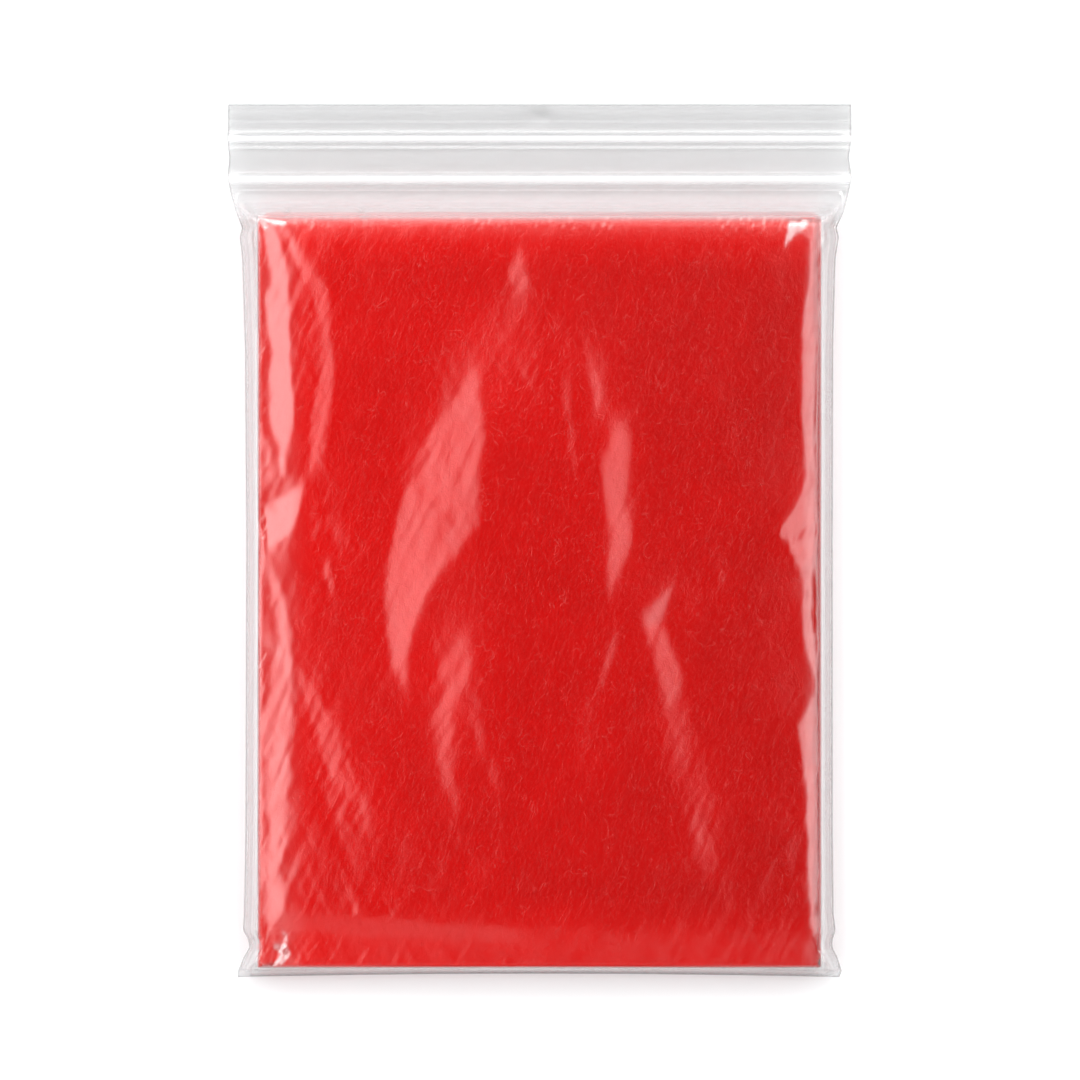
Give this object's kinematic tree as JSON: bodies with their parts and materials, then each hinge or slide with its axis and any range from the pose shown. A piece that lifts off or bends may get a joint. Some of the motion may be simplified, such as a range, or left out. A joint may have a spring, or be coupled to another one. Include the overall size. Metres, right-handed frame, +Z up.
{
  "type": "folded disposable rain poncho in a clear resealable bag",
  "caption": "Thin waterproof rain poncho folded into a flat packet, sealed in a clear press-to-close bag, resting flat on its back.",
  "frame": {"origin": "middle of the bag's footprint, on the surface that it lies on", "axes": "+X across the bag to its right, +Y from its foot to its mouth, +Z up from the surface, out of the packet's face"},
  "size_m": [0.1304, 0.1816, 0.0143],
  "materials": {
    "poncho_film": "satin red polythene film with a fine crinkle",
    "poncho_layers": "satin red polythene film, edges of the folds",
    "bag_film": "clear glossy polythene film",
    "zip_track": "clear extruded polythene"
  },
  "bodies": {
    "root": {"body_front_panel": "poncho_film", "body_back_panel": "poncho_film", "folded_layers": "poncho_layers", "bag_front_wall": "bag_film", "bag_back_wall": "bag_film", "zip_track_lower": "zip_track", "zip_track_upper": "zip_track"}
  },
  "joints": []
}
